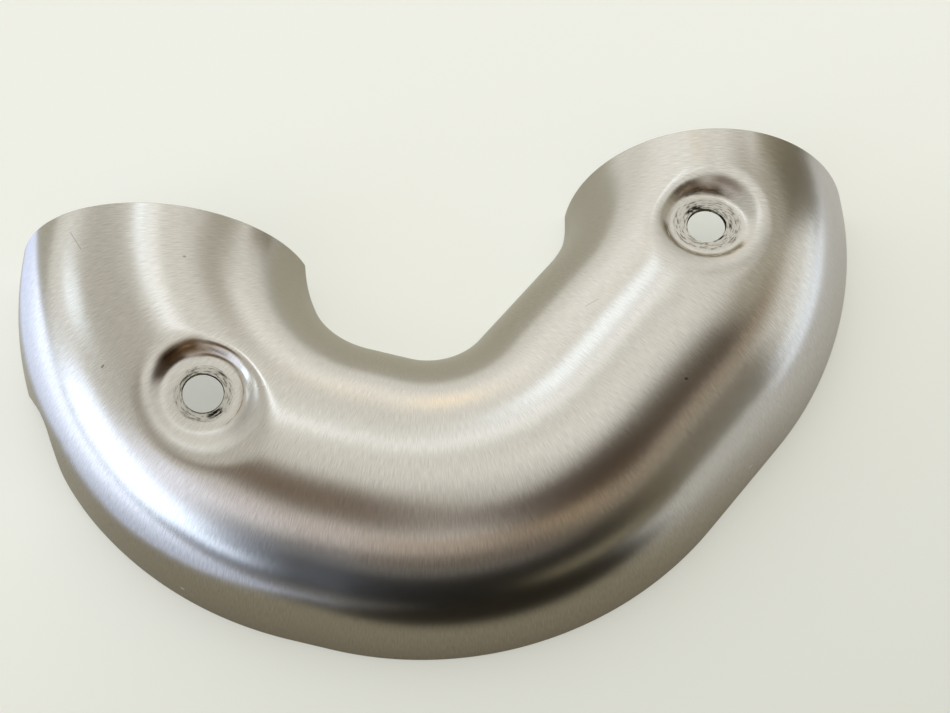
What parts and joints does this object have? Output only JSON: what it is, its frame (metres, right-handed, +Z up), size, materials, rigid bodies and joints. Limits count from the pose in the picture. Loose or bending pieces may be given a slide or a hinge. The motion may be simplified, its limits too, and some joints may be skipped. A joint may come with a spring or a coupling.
{
  "type": "exhaust heat shield",
  "caption": "Half-round pressed stainless shield that curves round a bent exhaust pipe, with recessed bolt seats in its crown.",
  "frame": {"origin": "middle of the plan, on the plane that the trim edges rest on", "axes": "+X along the longest extent, from the left leg to the right leg; +Y out between the legs; +Z up through the crown"},
  "size_m": [0.1558, 0.0922, 0.027],
  "materials": {
    "stainless": "satin brushed, scuffed round the bolt holes"
  },
  "bodies": {
    "root": {"shield_shell": "stainless"}
  },
  "joints": []
}
